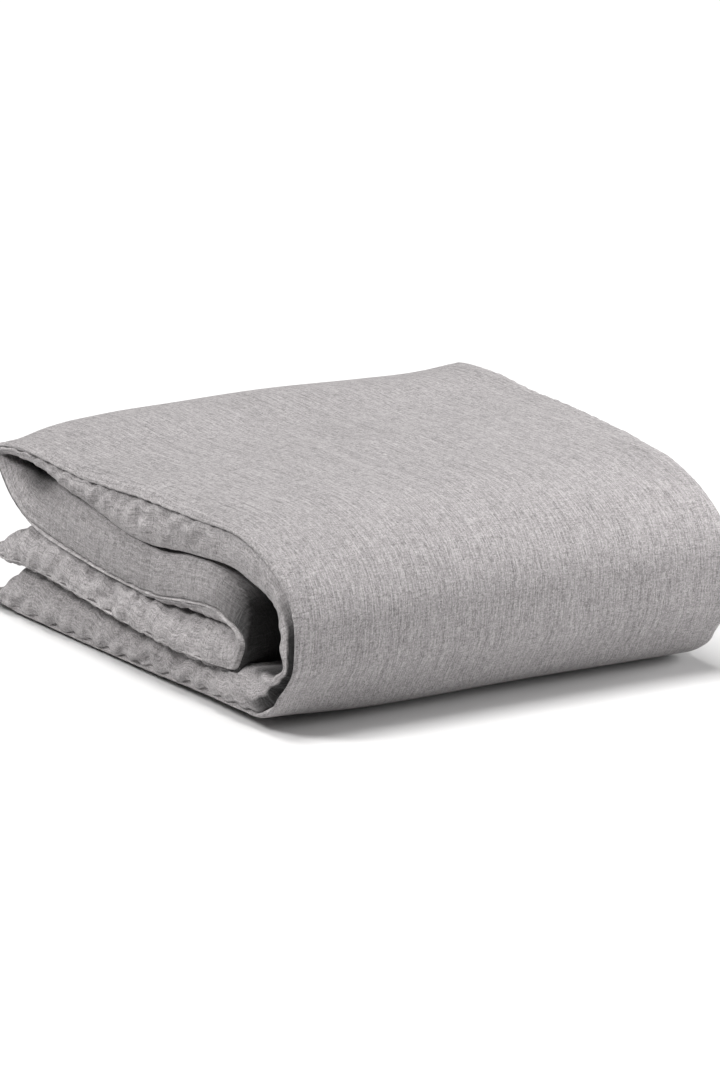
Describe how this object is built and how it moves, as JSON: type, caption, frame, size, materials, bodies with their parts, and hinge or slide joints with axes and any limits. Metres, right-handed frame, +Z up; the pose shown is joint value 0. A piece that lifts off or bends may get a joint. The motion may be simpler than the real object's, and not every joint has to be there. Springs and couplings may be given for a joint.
{
  "type": "folded duvet",
  "caption": "Duvet in a washed linen cover, folded twice into a four-layer stack with a rounded front bend, that opens about its inner fold.",
  "frame": {"origin": "centre of the stack's footprint, on the surface that it lies on", "axes": "+X across the stack towards the big front bend, +Y along the folds, +Z up"},
  "size_m": [0.572, 0.5, 0.182],
  "materials": {
    "linen": "washed grey linen, matt",
    "seam_linen": "washed grey linen, sewn lip",
    "cotton_casing": "closely woven white cotton",
    "filling": "carded fibre wadding",
    "cotton_tape": "woven cotton tape",
    "button": "matt, grey brown"
  },
  "bodies": {
    "lower_half": {"third_cover_face": "linen", "third_cover_back": "linen", "third_casing_face": "cotton_casing", "third_casing_back": "cotton_casing", "third_filling": "filling", "third_near_seam": "seam_linen", "third_far_seam": "seam_linen", "fourth_cover_face": "linen", "fourth_cover_back": "linen", "fourth_casing_face": "cotton_casing", "fourth_casing_back": "cotton_casing", "fourth_filling": "filling", "fourth_near_seam": "seam_linen", "fourth_far_seam": "seam_linen", "front_bend_cover_face": "linen", "front_bend_cover_back": "linen", "front_bend_casing_face": "cotton_casing", "front_bend_casing_back": "cotton_casing", "front_bend_filling": "filling", "front_bend_near_seam": "seam_linen", "front_bend_far_seam": "seam_linen", "inner_bend_cover_face": "linen", "inner_bend_cover_back": "linen", "inner_bend_casing_face": "cotton_casing", "inner_bend_casing_back": "cotton_casing", "inner_bend_filling": "filling", "inner_bend_near_seam": "seam_linen", "inner_bend_far_seam": "seam_linen", "head_end_seam": "seam_linen", "foot_end_hem": "seam_linen", "head_corner_tie_near": "cotton_tape", "head_corner_tie_far": "cotton_tape", "foot_corner_tie_near": "cotton_tape", "foot_corner_tie_far": "cotton_tape", "button_1": "button", "button_2": "button", "button_3": "button"},
    "upper_half": {"upper_cover_face": "linen", "upper_cover_back": "linen", "upper_casing_face": "cotton_casing", "upper_casing_back": "cotton_casing", "upper_filling": "filling", "upper_near_seam": "seam_linen", "upper_far_seam": "seam_linen"}
  },
  "joints": [
    {"name": "unfold", "type": "hinge", "parent": "lower_half", "child": "upper_half", "pos_m": [0.174, 0, 0.091], "axis": [0, 1, 0], "range_deg": [0, 180], "deforming": ["front_bend_cover_face", "front_bend_cover_back", "front_bend_casing_face", "front_bend_casing_back", "front_bend_filling", "front_bend_near_seam", "front_bend_far_seam", "inner_bend_cover_face", "inner_bend_cover_back", "inner_bend_casing_face", "inner_bend_casing_back", "inner_bend_filling", "inner_bend_near_seam", "inner_bend_far_seam"]}
  ]
}
